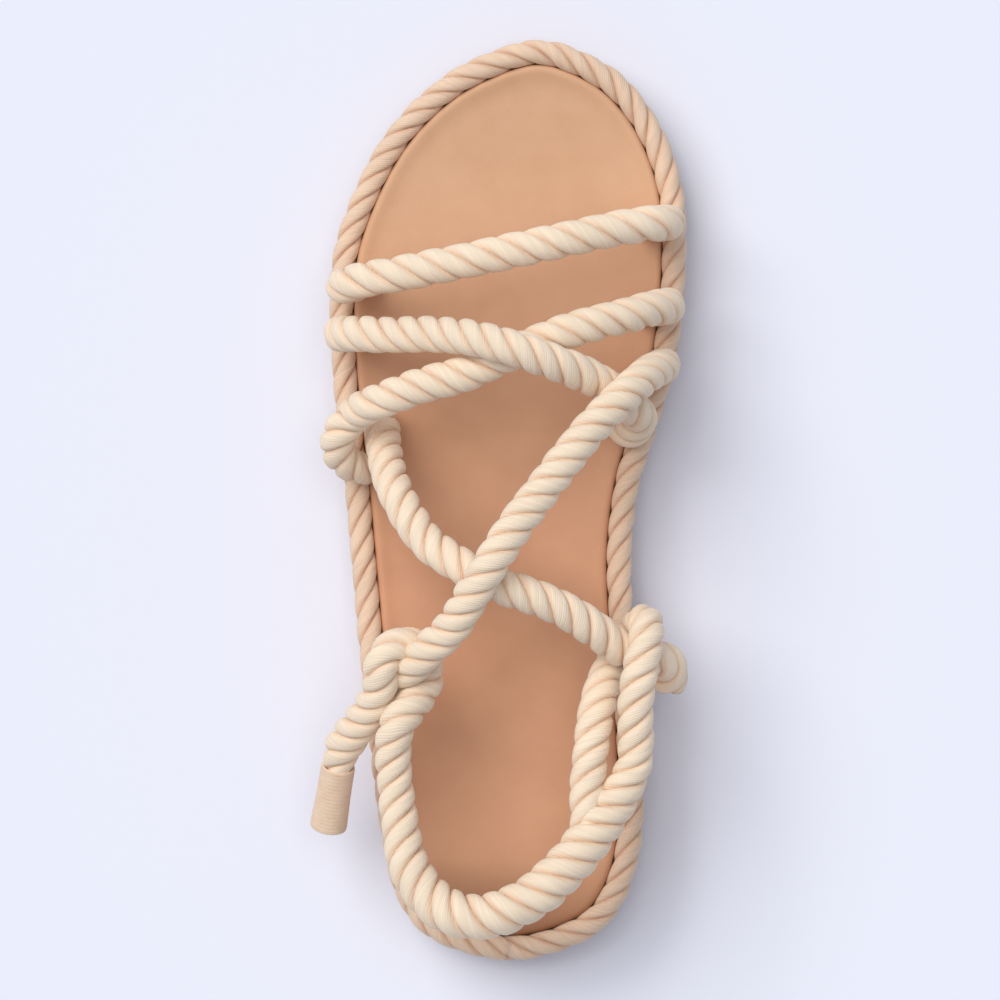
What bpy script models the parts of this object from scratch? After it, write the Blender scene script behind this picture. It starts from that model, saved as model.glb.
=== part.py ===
"""Rope slingback sandal for a left foot: rubber sole, footbed, rope trim and a tied rope upper.

Toe to +Y, inner (medial) side of the foot to +X, sole down on Z = 0. Tables are in millimetres.
"""
import math

import bmesh
import bpy
import numpy as np
from mathutils import Vector

MM = 0.001
OBJECT_NAME = "rope_slingback_sandal"

# Ropes
ROPE = 10.0
SPLICE = 12.6
TRIM = 7.0
ROPE_STEP = 4.0
TRIM_STEP = 6.0
LINE_SAMPLES = 24
MERGE = 0.01
ROPE_BEVEL = 3

# Sole
GAP = 0.3
FOOTBED_THICKNESS = 4.0
RIM_RISE = 0.9
RIM_WIDTH = 4.5
FOOTBED_INSET = TRIM + GAP
OUTSOLE_INSET = 1.0
SOLE_CHAMFER = 2.2
STATIONS = 44
SHARP_EDGE = math.radians(40)
OUTLINE_STEP = 1.5

# Places where a strap goes down into the footbed, squeezed thinner
SLOT_ROPE = 7.0
SLOT_WIDTH = SLOT_ROPE + 4 * GAP
SLOT_INSET = TRIM + GAP + SLOT_WIDTH / 2
SLOT_REACH = 8.0
SLOT_SEGMENTS = 24

# Last: straps stand up from the sole's edge to their shoulder, then arch over the foot
SHOULDER_RISE = 20.0
SHOULDER_INSET = 5.0
ARCH_POWER = 2.4
STRAP_END = (
    # share of the way to the shoulder, inset from the sole's edge, rise over the deck, thickness
    (0.0, SLOT_INSET, 2 * GAP, SLOT_ROPE),
    (0.0, SLOT_INSET, GAP + FOOTBED_THICKNESS, SLOT_ROPE),
    (0.25, 10.0, 9.0, 8.6),
    (0.7, 7.2, 14.0, ROPE),
)
SLOT_ROWS = 2

# Outer edge of the trim seen from above
HEEL_TIP = (2.6, -128.4)
TOE_TIP = (11.0, 128.2)
OUTLINE = (
    # y, lateral x, medial x
    (-121.0, -21.5, 27.0),
    (-110.0, -29.2, 35.5),
    (-92.0, -33.4, 39.9),
    (-68.0, -36.6, 39.5),
    (-42.0, -39.4, 37.9),
    (-15.0, -41.9, 36.7),
    (5.0, -43.8, 39.1),
    (20.0, -45.6, 43.9),
    (36.0, -47.2, 48.6),
    (54.0, -48.0, 51.2),
    (70.0, -46.8, 52.0),
    (86.0, -41.3, 51.2),
    (101.0, -33.2, 46.5),
    (113.0, -22.6, 39.2),
    (122.0, -9.5, 29.0),
)

# Side view of the sole: flat under the heel and the ball, low arch, toe spring
PROFILE = (
    # y, tread z, deck z
    (-129.0, 2.6, 14.2),
    (-118.0, 0.5, 13.8),
    (-105.0, 0.0, 13.5),
    (-60.0, 0.0, 13.2),
    (-40.0, 0.5, 12.7),
    (-10.0, 1.8, 11.7),
    (15.0, 1.0, 10.8),
    (35.0, 0.0, 10.2),
    (65.0, 0.0, 10.2),
    (90.0, 1.6, 11.2),
    (110.0, 3.9, 13.1),
    (129.0, 7.2, 16.2),
)

# Ridge of the last, as the height of a strap lying across it
RIDGE = (
    # y, ridge z
    (-113.0, 56.0),
    (-85.0, 55.0),
    (-50.0, 57.0),
    (-22.0, 57.5),
    (10.0, 56.0),
    (43.0, 52.0),
    (68.0, 45.5),
    (100.0, 38.0),
)

# Straps lying on the last: x, y and lift over its surface where another rope is crossed
TOE_STRAP = (
    (-42.5, 59.0, 0.0),
    (-38.5, 60.0, 0.0),
    (-28.5, 61.5, 0.0),
    (-12.0, 64.5, 0.0),
    (4.5, 68.0, 0.0),
    (21.0, 71.5, 0.0),
    (34.5, 74.5, 0.0),
    (43.5, 76.0, 0.0),
    (47.0, 76.5, 0.0),
)
STRAP_OUTER_FRONT = (
    (-43.5, 46.0, 0.0),
    (-38.5, 45.5, 0.0),
    (-28.0, 45.0, 0.0),
    (-16.0, 45.0, 2.5),
    (-5.0, 43.5, 6.5),
    (6.5, 40.5, 8.5),
    (18.0, 36.5, 5.5),
    (26.5, 33.0, 0.0),
    (33.2, 29.0, -5.0),
    (37.2, 25.4, -4.5),
)
STRAP_INNER_FRONT = (
    (47.0, 53.5, 0.0),
    (43.0, 52.5, 0.0),
    (34.5, 50.0, 0.0),
    (22.0, 46.5, 0.0),
    (6.0, 40.5, -0.5),
    (-7.5, 34.5, -0.5),
    (-20.0, 31.0, 0.0),
    (-32.5, 26.5, 1.0),
    (-39.5, 23.0, 0.0),
)
INSTEP_OVER = (
    (45.5, 37.0, 0.0),
    (41.2, 34.0, 6.2),
    (34.6, 28.0, 8.4),
    (24.4, 17.0, 8.5),
    (13.8, 3.5, 8.0),
    (5.0, -8.5, 8.5),
    (-1.3, -18.5, 9.0),
    (-7.0, -28.0, 6.5),
    (-11.4, -34.5, 3.0),
    (-16.6, -39.6, 1.5),
)

# Ropes clear of the last: x, y, height over the floor, thickness
OUTER_FRONT_END = (
    (39.2, 22.4, 29.8, ROPE),
    (38.4, 20.2, 27.4, 9.6),
    (36.4, 19.0, 25.0, 9.2),
    (34.3, 19.6, 22.8, 8.4),
    (33.0, 21.2, 20.6, 7.4),
)
INNER_FRONT_END = (
    (-43.4, 18.4, 36.0, ROPE),
    (-44.0, 13.6, 31.0, ROPE),
    (-41.2, 9.8, 26.6, 9.6),
    (-36.6, 8.3, 22.6, 8.2),
    (-34.0, 8.1, 19.4, 7.2),
)
INSTEP_OVER_END = (
    (-21.0, -43.8, 54.4, ROPE),
    (-24.0, -47.0, 50.6, 9.4),
    (-26.0, -49.6, 45.0, 9.0),
    (-27.0, -51.0, 39.0, 9.0),
    (-27.2, -51.4, 33.0, 9.0),
)
INSTEP_UNDER = (
    (-32.5, 20.5, 24.0, ROPE),
    (-31.5, 15.5, 32.0, ROPE),
    (-30.0, 9.0, 39.5, ROPE),
    (-26.5, 0.5, 46.5, ROPE),
    (-18.5, -11.3, 52.5, ROPE),
    (-9.4, -17.6, 56.0, ROPE),
    (-0.5, -22.4, 57.5, ROPE),
    (10.5, -26.0, 57.0, ROPE),
    (20.5, -30.6, 54.5, ROPE),
    (27.4, -35.4, 50.8, ROPE),
    (33.0, -39.8, 46.0, ROPE),
    (38.6, -42.4, 42.0, ROPE),
    (43.6, -43.2, 39.4, ROPE),
    (46.8, -44.6, 36.2, ROPE),
    (47.7, -47.6, 32.4, ROPE),
    (47.1, -50.2, 29.6, ROPE),
)
HEEL_SLING = (
    (-43.9, -73.2, 34.0, ROPE),
    (-43.4, -70.9, 35.1, ROPE),
    (-42.2, -67.8, 37.0, 10.6),
    (-39.8, -64.4, 39.8, 10.6),
    (-36.4, -60.0, 44.0, 10.4),
    (-32.9, -55.0, 48.6, ROPE),
    (-30.8, -49.6, 52.4, ROPE),
    (-30.4, -44.4, 54.8, ROPE),
    (-28.4, -40.8, 54.8, ROPE),
    (-25.0, -39.2, 52.8, 9.8),
    (-21.8, -39.8, 49.2, 9.4),
    (-19.6, -42.8, 45.4, 9.2),
    (-18.6, -47.4, 43.8, 9.2),
    (-19.7, -52.0, 46.4, 9.4),
    (-22.9, -56.0, 50.8, ROPE),
    (-26.4, -60.8, 52.2, ROPE),
    (-27.7, -67.4, 49.8, ROPE),
    (-27.2, -78.0, 47.6, ROPE),
    (-25.8, -89.0, 48.5, 10.6),
    (-24.0, -97.7, 50.2, 11.2),
    (-20.8, -104.0, 52.0, 12.0),
    (-16.2, -109.0, 54.0, SPLICE),
    (-10.2, -112.1, 55.5, SPLICE),
    (-3.6, -112.8, 56.0, SPLICE),
    (2.0, -111.6, 56.0, SPLICE),
    (11.5, -106.8, 55.0, SPLICE),
    (20.5, -98.2, 53.0, SPLICE),
    (28.0, -88.8, 51.0, SPLICE),
    (34.0, -80.0, 49.5, 11.2),
    (37.6, -72.5, 49.0, ROPE),
    (38.3, -64.0, 50.0, ROPE),
    (38.2, -55.5, 51.5, ROPE),
    (39.2, -47.2, 52.0, ROPE),
    (40.6, -40.6, 51.5, ROPE),
    (41.2, -35.6, 48.6, ROPE),
    (40.6, -33.4, 43.4, ROPE),
    (38.6, -34.8, 37.8, 9.6),
    (35.0, -39.4, 34.4, 9.4),
    (31.4, -45.4, 36.4, 9.4),
    (29.0, -51.0, 41.4, ROPE),
    (27.4, -57.5, 45.6, ROPE),
    (26.4, -65.0, 47.8, ROPE),
    (25.6, -72.5, 49.0, ROPE),
    (25.0, -80.5, 50.2, 9.6),
    (24.6, -88.5, 51.2, 8.6),
    (21.4, -96.0, 52.6, 7.0),
    (16.4, -102.2, 53.8, 5.4),
)
WHIPPED_END = (-47.3, -90.5, 26.0)

LATERAL = -1
MEDIAL = 1

FINISHES = {
    # name: linear colour, roughness, metallic
    "outsole_rubber": ((0.55, 0.36, 0.22), 0.7, 0.0),
    "footbed_leather": ((0.66, 0.40, 0.24), 0.55, 0.0),
    "trim_cotton": ((0.72, 0.56, 0.40), 0.9, 0.0),
    "toe_strap_cotton": ((0.78, 0.62, 0.45), 0.9, 0.0),
    "upper_cotton": ((0.78, 0.62, 0.45), 0.9, 0.0),
    "whipping_thread": ((0.74, 0.57, 0.40), 0.85, 0.0),
}


def table_value(rows, column, y):
    """Reads a table between its rows without overshoot, so that flat stretches stay flat."""
    ys = [row[0] for row in rows]
    vs = [row[column] for row in rows]
    slopes = [(b - a) / (d - c) for a, b, c, d in zip(vs, vs[1:], ys, ys[1:])]
    tangents = [slopes[0]]
    for before, after in zip(slopes, slopes[1:]):
        same = before * after > 0
        tangents.append(2 * before * after / (before + after) if same else 0.0)
    tangents.append(slopes[-1])
    y = min(max(y, ys[0]), ys[-1])
    i = min(sum(edge <= y for edge in ys), len(ys) - 1) - 1
    span = ys[i + 1] - ys[i]
    t = (y - ys[i]) / span
    return (
        (1 + 2 * t) * (1 - t) ** 2 * vs[i]
        + t * (1 - t) ** 2 * span * tangents[i]
        + t * t * (3 - 2 * t) * vs[i + 1]
        + t * t * (t - 1) * span * tangents[i + 1]
    )


def tread(y):
    return table_value(PROFILE, 1, y)


def deck(y):
    return table_value(PROFILE, 2, y)


def smooth_line(points, step, closed=False):
    """Evenly spaced points along a smooth curve through the given ones."""
    points = np.array(points, dtype=float)
    if closed:
        points = np.vstack((points[-1:], points, points[:2]))
    else:
        points = np.vstack((2 * points[0] - points[1], points, 2 * points[-1] - points[-2]))
    fine = []
    for a, b, c, d in zip(points, points[1:], points[2:], points[3:]):
        t1, t2, t3 = (math.sqrt(np.linalg.norm(q - p)) for p, q in ((a, b), (b, c), (c, d)))
        leave = t2 * ((b - a) / t1 - (c - a) / (t1 + t2)) + (c - b)
        arrive = t2 * ((d - c) / t3 - (d - b) / (t2 + t3)) + (c - b)
        for t in np.linspace(0, 1, LINE_SAMPLES, endpoint=False):
            fine.append(
                (1 + 2 * t) * (1 - t) ** 2 * b + t * (1 - t) ** 2 * leave
                + t * t * (3 - 2 * t) * c + t * t * (t - 1) * arrive
            )
    fine.append(points[-2])
    fine = np.array(fine)
    along = np.concatenate(([0.0], np.cumsum(np.linalg.norm(np.diff(fine, axis=0), axis=1))))
    marks = np.linspace(0, along[-1], max(2, round(along[-1] / step)) + 1)
    line = np.stack([np.interp(marks, along, column) for column in fine.T], axis=1)
    return line[:-1] if closed else line


def edge_lines(inset):
    """Lateral and medial edges of the sole, heel to toe, moved inward by the inset."""
    medial = [(x, y) for y, _, x in OUTLINE]
    lateral = [(x, y) for y, x, _ in reversed(OUTLINE)]
    loop = smooth_line([HEEL_TIP, *medial, TOE_TIP, *lateral], OUTLINE_STEP, closed=True)
    ahead = np.roll(loop, -1, axis=0) - np.roll(loop, 1, axis=0)
    inward = np.stack((-ahead[:, 1], ahead[:, 0]), axis=1)
    loop = loop + inset * inward / np.linalg.norm(inward, axis=1, keepdims=True)
    loop = np.roll(loop, -int(np.argmin(loop[:, 1])), axis=0)
    toe = int(np.argmax(loop[:, 1]))
    lateral = np.vstack((loop[toe:], loop[:1]))[::-1]
    return lateral, loop[:toe + 1]


def edge_x(side, y, inset):
    """Where one side of the sole, moved inward, lies at y."""
    line = edge_lines(inset)[0 if side == LATERAL else 1]
    return float(np.interp(y, line[:, 1], line[:, 0]))


def on_last(x, y, lift):
    """Centre of a strap that lies across the last at x, y."""
    lateral = edge_x(LATERAL, y, SHOULDER_INSET)
    medial = edge_x(MEDIAL, y, SHOULDER_INSET)
    share = min(1.0, abs(2 * x - lateral - medial) / (medial - lateral))
    shoulder = deck(y) + SHOULDER_RISE
    arch = (1 - share ** ARCH_POWER) ** (1 / ARCH_POWER)
    height = shoulder + (table_value(RIDGE, 1, y) - shoulder) * arch
    return (x, y, height + lift, ROPE)


def anchor(side, y, shoulder, count):
    """Strap end going down inside the trim, from the slot in the footbed up towards its shoulder."""
    rows = []
    for share, inset, rise, thickness in STRAP_END[:count]:
        along = y + share * (shoulder[1] - y)
        rows.append((edge_x(side, along, inset), along, deck(along) + rise, thickness))
    return rows


def strap_route(lying=(), free=(), start=None, end=None):
    """All points of one rope: start anchor, rows on the last, rows clear of it, end anchor."""
    route = [on_last(*row) for row in lying] + list(free)
    head = anchor(*start, route[0], len(STRAP_END) if lying else SLOT_ROWS) if start else ()
    tail = anchor(*end, route[-1], SLOT_ROWS if free else len(STRAP_END))[::-1] if end else ()
    return [*head, *route, *tail]


def new_collection(name):
    group = bpy.data.collections.new(name)
    bpy.context.scene.collection.children.link(group)
    return group


def material(name):
    colour, roughness, metallic = FINISHES[name]
    mat = bpy.data.materials.new(name)
    mat.use_nodes = True
    shader = mat.node_tree.nodes["Principled BSDF"]
    shader.inputs["Base Color"].default_value = (*colour, 1.0)
    shader.inputs["Roughness"].default_value = roughness
    shader.inputs["Metallic"].default_value = metallic
    return mat


def mesh_object(name, bm, group, mat=None):
    """Closed mesh turned outward, shaded smooth over its soft edges and put in its collection."""
    bmesh.ops.recalc_face_normals(bm, faces=bm.faces)
    mesh = bpy.data.meshes.new(name)
    bm.to_mesh(mesh)
    bm.free()
    mesh.shade_smooth()
    mesh.set_sharp_from_angle(angle=SHARP_EDGE)
    part = bpy.data.objects.new(name, mesh)
    group.objects.link(part)
    if mat:
        mesh.materials.append(mat)
    return part


def rope_object(name, route, step, group, mat, closed=False):
    """Round rope along its route, as a mesh with closed ends."""
    line = smooth_line(route, step, closed)
    curve = bpy.data.curves.new(name, "CURVE")
    curve.dimensions = "3D"
    curve.bevel_depth = 0.5 * MM
    curve.bevel_resolution = ROPE_BEVEL
    curve.use_fill_caps = True
    spline = curve.splines.new("POLY")
    spline.points.add(len(line) - 1)
    spline.use_cyclic_u = closed
    for point, (x, y, z, thickness) in zip(spline.points, line):
        point.co = (x * MM, y * MM, z * MM, 1.0)
        point.radius = thickness
    drawn = bpy.data.objects.new(name + "_line", curve)
    group.objects.link(drawn)
    bpy.context.view_layer.update()
    solid = bpy.data.meshes.new_from_object(drawn.evaluated_get(bpy.context.evaluated_depsgraph_get()))
    bm = bmesh.new()
    bm.from_mesh(solid)
    bmesh.ops.remove_doubles(bm, verts=bm.verts, dist=MERGE * MM)
    bpy.data.objects.remove(drawn)
    bpy.data.curves.remove(curve)
    bpy.data.meshes.remove(solid)
    return mesh_object(name, bm, group, mat)


def plate(name, levels, group, mat):
    """Body that follows the sole's outline: one ring of points for each (inset, height) level."""
    bm = bmesh.new()
    rings = []
    for inset, height in levels:
        lateral, medial = edge_lines(inset)
        heel, toe = medial[0], medial[-1]
        ends = [bm.verts.new((x * MM, y * MM, height(y) * MM)) for x, y in (heel, toe)]
        left, right = [ends[0]], [ends[0]]
        for i in range(1, STATIONS):
            y = (heel[1] + toe[1] - (toe[1] - heel[1]) * math.cos(math.pi * i / STATIONS)) / 2
            for line, side in ((lateral, left), (medial, right)):
                x = float(np.interp(y, line[:, 1], line[:, 0]))
                side.append(bm.verts.new((x * MM, y * MM, height(y) * MM)))
        rings.append((left + [ends[1]], right + [ends[1]]))
    for low, high in zip(rings, rings[1:]):
        for under, over in zip(low, high):
            for a, b, c, d in zip(under, under[1:], over[1:], over):
                bm.faces.new((a, b, c, d))
    for left, right in (rings[0], rings[-1]):
        bm.faces.new((left[0], left[1], right[1]))
        bm.faces.new((left[-1], left[-2], right[-2]))
        for i in range(1, STATIONS - 1):
            bm.faces.new((left[i], left[i + 1], right[i + 1], right[i]))
    return mesh_object(name, bm, group, mat)


def slot_cutters(places, group):
    """Round-ended slots, open to the footbed's edge, one for each strap end."""
    bm = bmesh.new()
    for side, y in places:
        made = bmesh.ops.create_cone(
            bm, cap_ends=True, segments=SLOT_SEGMENTS, radius1=SLOT_WIDTH / 2 * MM,
            radius2=SLOT_WIDTH / 2 * MM, depth=4 * FOOTBED_THICKNESS * MM,
        )["verts"]
        centre = Vector((edge_x(side, y, SLOT_INSET), y, deck(y) + FOOTBED_THICKNESS / 2)) * MM
        for vert in made:
            outer = vert.co.x * side > MERGE * MM
            vert.co += centre
            if outer:
                vert.co.x += side * SLOT_REACH * MM
    return mesh_object("strap_slots", bm, group)


def use_as_tool(part, tool, operation):
    """Joins or cuts a part with a tool body."""
    tool.hide_render = True
    tool.display_type = "WIRE"
    boolean = part.modifiers.new(operation.lower() + "_" + tool.name, "BOOLEAN")
    boolean.operation = operation
    boolean.solver = "EXACT"
    boolean.object = tool
    return boolean


# Start from an empty scene
for old in list(bpy.data.objects):
    bpy.data.objects.remove(old)
sandal = new_collection(OBJECT_NAME)
tools = new_collection("tools")

# Sole: rubber outsole with a chamfered tread edge, footbed with a raised rim
outsole_levels = (
    (OUTSOLE_INSET + SOLE_CHAMFER, tread),
    (OUTSOLE_INSET, lambda y: tread(y) + SOLE_CHAMFER),
    (OUTSOLE_INSET, deck),
)
plate("outsole", outsole_levels, sandal, material("outsole_rubber"))
footbed_top = GAP + FOOTBED_THICKNESS
footbed_levels = (
    (FOOTBED_INSET, lambda y: deck(y) + GAP),
    (FOOTBED_INSET, lambda y: deck(y) + footbed_top),
    (FOOTBED_INSET + RIM_RISE, lambda y: deck(y) + footbed_top + RIM_RISE),
    (FOOTBED_INSET + RIM_WIDTH, lambda y: deck(y) + footbed_top),
)
footbed = plate("footbed", footbed_levels, sandal, material("footbed_leather"))

# Trim: one closed ring of rope on the sole's rim
lateral_rim, medial_rim = edge_lines(TRIM / 2)
rim = [*medial_rim, *lateral_rim[-2:0:-1]]
trim_route = [(x, y, deck(y) + GAP + TRIM / 2, TRIM) for x, y in rim]
rope_object("trim_rope", trim_route, TRIM_STEP, sandal, material("trim_cotton"), closed=True)

# Toe strap: a rope of its own, clear of the others
toe_ends = {"start": (LATERAL, 61.2), "end": (MEDIAL, 76.4)}
toe_route = strap_route(TOE_STRAP, **toe_ends)
rope_object("toe_strap", toe_route, ROPE_STEP, sandal, material("toe_strap_cotton"))

# Upper: crossed straps and heel sling, joined where they meet
upper_ropes = {
    "rope_upper": {
        "lying": STRAP_OUTER_FRONT, "free": OUTER_FRONT_END,
        "start": (LATERAL, 46.4), "end": (MEDIAL, 21.6),
    },
    "inner_front_rope": {
        "lying": STRAP_INNER_FRONT, "free": INNER_FRONT_END,
        "start": (MEDIAL, 52.4), "end": (LATERAL, 8.0),
    },
    "instep_over_rope": {"lying": INSTEP_OVER, "free": INSTEP_OVER_END, "start": (MEDIAL, 30.5)},
    "instep_under_rope": {"free": INSTEP_UNDER, "start": (LATERAL, 23.0)},
    "sling_rope": {"free": HEEL_SLING},
}
upper_finish = material("upper_cotton")
slots = [*toe_ends.values()]
bodies = []
for name, spec in upper_ropes.items():
    slots += [spec[key] for key in ("start", "end") if key in spec]
    group = tools if bodies else sandal
    bodies.append(rope_object(name, strap_route(**spec), ROPE_STEP, group, upper_finish))
for body in bodies[1:]:
    use_as_tool(bodies[0], body, "UNION").use_self = True
use_as_tool(footbed, slot_cutters(slots, tools), "DIFFERENCE")

# Whipping: thread-bound end of the sling's tail
tail = np.array(HEEL_SLING[0][:3])
reach = np.array(WHIPPED_END) - tail
start = tail + reach * (GAP / np.linalg.norm(reach))
whipping_route = [(*start, ROPE), (*WHIPPED_END, ROPE)]
rope_object("tail_whipping", whipping_route, ROPE_STEP, sandal, material("whipping_thread"))
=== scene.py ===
# %% [markdown]
# # A rope slingback sandal, finished in Blender
#
# The sandal is a thin rubber sole with a tan footbed, a rope trim round its edge and an upper made of
# nothing but laid cotton rope. The imported CAD model comes in first as a fixed frame: it says where every
# strap runs and how big the shoe is. Each soft CAD solid is then replaced by a piece that looks like the
# real thing, in the same place.

# %% Load the frame
import math

import bmesh
import bpy
import numpy as np
from mathutils import Matrix, Vector


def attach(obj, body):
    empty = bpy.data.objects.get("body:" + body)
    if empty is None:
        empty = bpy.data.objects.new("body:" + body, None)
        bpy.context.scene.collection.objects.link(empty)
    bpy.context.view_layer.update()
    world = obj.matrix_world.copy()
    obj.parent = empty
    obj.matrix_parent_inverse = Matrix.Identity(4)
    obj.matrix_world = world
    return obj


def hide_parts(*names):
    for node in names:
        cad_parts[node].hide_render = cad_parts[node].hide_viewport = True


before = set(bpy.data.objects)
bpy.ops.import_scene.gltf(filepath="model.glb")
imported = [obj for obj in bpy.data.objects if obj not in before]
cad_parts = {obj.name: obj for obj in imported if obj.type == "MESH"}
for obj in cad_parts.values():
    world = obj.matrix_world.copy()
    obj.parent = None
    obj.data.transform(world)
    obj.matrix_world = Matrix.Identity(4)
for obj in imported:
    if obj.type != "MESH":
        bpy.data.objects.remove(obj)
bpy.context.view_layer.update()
MM = 0.001
TURN = 2 * math.pi

# %% [markdown]
# ## Sole tables
#
# A shoe's shape comes from its last, the foot-shaped form that it is built on. Two short tables hold what
# the sole needs from it: its outline seen from above and its height seen from the side. A third gives the
# ridge of the foot, over which the straps lie. The tables have few rows, and a smooth curve runs through
# them, because a shoe has no corners.

# %% Outline, side profile and ridge
# Outer edge of the trim seen from above, in mm
HEEL_TIP = (2.6, -128.4)
TOE_TIP = (11.0, 128.2)
OUTLINE = (
    # y, lateral x, medial x
    (-121.0, -21.5, 27.0),
    (-110.0, -29.2, 35.5),
    (-92.0, -33.4, 39.9),
    (-68.0, -36.6, 39.5),
    (-42.0, -39.4, 37.9),
    (-15.0, -41.9, 36.7),
    (5.0, -43.8, 39.1),
    (20.0, -45.6, 43.9),
    (36.0, -47.2, 48.6),
    (54.0, -48.0, 51.2),
    (70.0, -46.8, 52.0),
    (86.0, -41.3, 51.2),
    (101.0, -33.2, 46.5),
    (113.0, -22.6, 39.2),
    (122.0, -9.5, 29.0),
)
PROFILE = (
    # y, tread z, deck z
    (-129.0, 2.6, 14.2),
    (-118.0, 0.5, 13.8),
    (-105.0, 0.0, 13.5),
    (-60.0, 0.0, 13.2),
    (-40.0, 0.5, 12.7),
    (-10.0, 1.8, 11.7),
    (15.0, 1.0, 10.8),
    (35.0, 0.0, 10.2),
    (65.0, 0.0, 10.2),
    (90.0, 1.6, 11.2),
    (110.0, 3.9, 13.1),
    (129.0, 7.2, 16.2),
)
RIDGE = (
    # y, ridge z
    (-113.0, 56.0),
    (-85.0, 55.0),
    (-50.0, 57.0),
    (-22.0, 57.5),
    (10.0, 56.0),
    (43.0, 52.0),
    (68.0, 45.5),
    (100.0, 38.0),
)


def table_value(rows, column, y):
    """Reads a table between its rows without overshoot, so that flat stretches stay flat."""
    ys = [row[0] for row in rows]
    vs = [row[column] for row in rows]
    slopes = [(b - a) / (d - c) for a, b, c, d in zip(vs, vs[1:], ys, ys[1:])]
    tangents = [slopes[0]]
    for before, after in zip(slopes, slopes[1:]):
        same = before * after > 0
        tangents.append(2 * before * after / (before + after) if same else 0.0)
    tangents.append(slopes[-1])
    y = min(max(y, ys[0]), ys[-1])
    i = min(sum(edge <= y for edge in ys), len(ys) - 1) - 1
    span = ys[i + 1] - ys[i]
    t = (y - ys[i]) / span
    return (
        (1 + 2 * t) * (1 - t) ** 2 * vs[i]
        + t * (1 - t) ** 2 * span * tangents[i]
        + t * t * (3 - 2 * t) * vs[i + 1]
        + t * t * (t - 1) * span * tangents[i + 1]
    )


def tread(y):
    return table_value(PROFILE, 1, y)


def deck(y):
    return table_value(PROFILE, 2, y)


# Places along the shoe, in mm
HEEL, BALL, TOE = -105.0, 60.0, 125.0
print("deck height at heel, ball and toe:", [round(deck(y), 1) for y in (HEEL, BALL, TOE)])

# %% [markdown]
# A table gives only a few points, and a rim or a rope needs many, at even steps. A curve object could smooth
# them, but it can't be asked for a place in between. So one function works out the smooth line, and two more
# read the sole's edge from it: as a ring moved inward, and as the place of one side of the sole.

# %% Smooth lines through the tables
OUTLINE_STEP = 1.5
LINE_SAMPLES = 24
LATERAL, MEDIAL = -1, 1


def smooth_line(points, step, closed=False):
    """Evenly spaced points along a smooth curve through the given ones."""
    points = np.array(points, dtype=float)
    if closed:
        points = np.vstack((points[-1:], points, points[:2]))
    else:
        points = np.vstack((2 * points[0] - points[1], points, 2 * points[-1] - points[-2]))
    fine = []
    for a, b, c, d in zip(points, points[1:], points[2:], points[3:]):
        t1, t2, t3 = (math.sqrt(np.linalg.norm(q - p)) for p, q in ((a, b), (b, c), (c, d)))
        leave = t2 * ((b - a) / t1 - (c - a) / (t1 + t2)) + (c - b)
        arrive = t2 * ((d - c) / t3 - (d - b) / (t2 + t3)) + (c - b)
        for t in np.linspace(0, 1, LINE_SAMPLES, endpoint=False):
            fine.append(
                (1 + 2 * t) * (1 - t) ** 2 * b + t * (1 - t) ** 2 * leave
                + t * t * (3 - 2 * t) * c + t * t * (t - 1) * arrive
            )
    fine.append(points[-2])
    fine = np.array(fine)
    along = np.concatenate(([0.0], np.cumsum(np.linalg.norm(np.diff(fine, axis=0), axis=1))))
    marks = np.linspace(0, along[-1], max(2, round(along[-1] / step)) + 1)
    line = np.stack([np.interp(marks, along, column) for column in fine.T], axis=1)
    return line[:-1] if closed else line


def sole_ring(inset):
    """The sole's edge as a closed ring, starting at the heel, moved inward by the inset."""
    medial = [(x, y) for y, _, x in OUTLINE]
    lateral = [(x, y) for y, x, _ in reversed(OUTLINE)]
    ring = smooth_line([HEEL_TIP, *medial, TOE_TIP, *lateral], OUTLINE_STEP, closed=True)
    ahead = np.roll(ring, -1, axis=0) - np.roll(ring, 1, axis=0)
    inward = np.stack((-ahead[:, 1], ahead[:, 0]), axis=1)
    ring = ring + inset * inward / np.linalg.norm(inward, axis=1, keepdims=True)
    return np.roll(ring, -int(np.argmin(ring[:, 1])), axis=0)


def edge_x(side, y, inset):
    """Where one side of the sole, moved inward, lies at y."""
    ring = sole_ring(inset)
    toe = int(np.argmax(ring[:, 1]))
    line = ring[:toe + 1] if side == MEDIAL else np.vstack((ring[toe:], ring[:1]))[::-1]
    return float(np.interp(y, line[:, 1], line[:, 0]))


print("sole width at the ball:", round(edge_x(MEDIAL, BALL, 0) - edge_x(LATERAL, BALL, 0), 1), "mm")

# %% [markdown]
# ## Camera
#
# The picture was taken from straight above a point beside the shoe, from a little over a metre away. The
# camera stands at that very place and turns by about two degrees to bring the shoe to the middle, so the
# straps hide each other as they do in the picture. A long lens keeps the perspective as flat.

# %% Camera above the shoe
CAMERA_PLACE = Vector((53.6, -0.4, 1300.0))
CAMERA_AIM = Vector((0.0, 0.0, 17.0))
VIEW_WIDTH = 279.0
SENSOR = 36.0
FAR_LIMIT = 50.0

camera_data = bpy.data.cameras.new("camera")
camera = bpy.data.objects.new("camera", camera_data)
bpy.context.scene.collection.objects.link(camera)
camera.location = CAMERA_PLACE * MM
back = (CAMERA_PLACE - CAMERA_AIM).normalized()
right = Vector((0, 1, 0)).cross(back).normalized()
camera.rotation_euler = Matrix((right, back.cross(right), back)).transposed().to_euler()
camera_data.sensor_width = SENSOR
camera_data.lens = SENSOR * (CAMERA_PLACE - CAMERA_AIM).length / VIEW_WIDTH
camera_data.clip_end = FAR_LIMIT
bpy.context.scene.camera = camera
print("lens in mm:", round(camera_data.lens, 1))

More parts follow.
